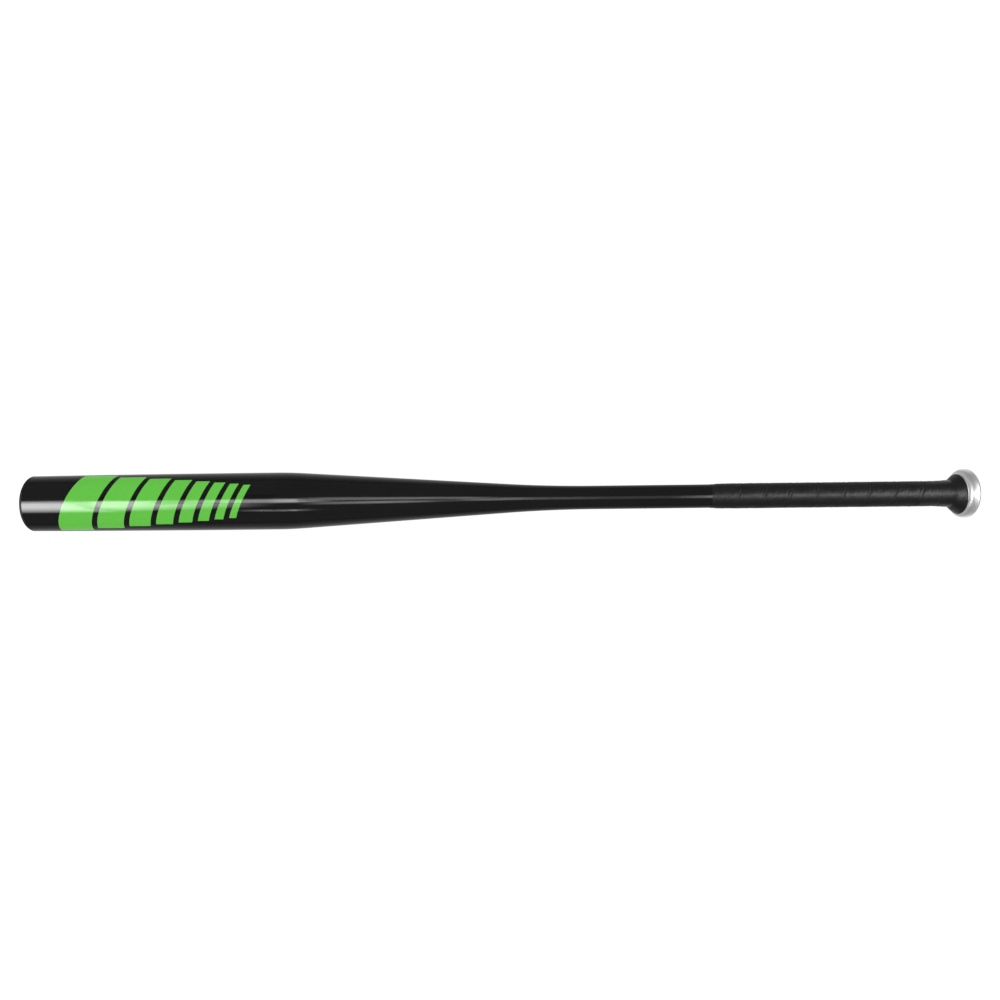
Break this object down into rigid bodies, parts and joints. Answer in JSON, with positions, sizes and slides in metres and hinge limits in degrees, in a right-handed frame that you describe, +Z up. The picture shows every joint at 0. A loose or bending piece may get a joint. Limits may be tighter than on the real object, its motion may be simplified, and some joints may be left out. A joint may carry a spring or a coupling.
{
  "type": "baseball bat",
  "caption": "One-piece aluminium baseball bat with a gloss painted barrel and handle, moulded end cap, wrapped grip and bare turned knob.",
  "frame": {"origin": "on the bat's axis, halfway between the end cap's outer face and the knob's end face", "axes": "+X along the bat's axis from the barrel end to the knob, +Z up through the middle of the decal as the bat lies, +Y across"},
  "size_m": [0.8636, 0.0526, 0.0527],
  "materials": {
    "gloss_paint": "gloss black enamel on aluminium",
    "cap_urethane": "moulded, fine matt grain",
    "turned_aluminium": "bare, with fine turning marks",
    "weld_aluminium": "ground flush",
    "underlay_tape": "matt adhesive tape",
    "grip_leather": "satin synthetic leather, fine pebble grain",
    "vinyl_tape": "satin stretched vinyl",
    "decal_film": "green film under clear lacquer"
  },
  "bodies": {
    "root": {"bat_shell": "gloss_paint", "end_cap": "cap_urethane", "knob": "turned_aluminium", "knob_weld": "weld_aluminium", "grip_underlay": "underlay_tape", "grip_wrap": "grip_leather", "finishing_tape": "vinyl_tape", "barrel_decal": "decal_film"}
  },
  "joints": []
}
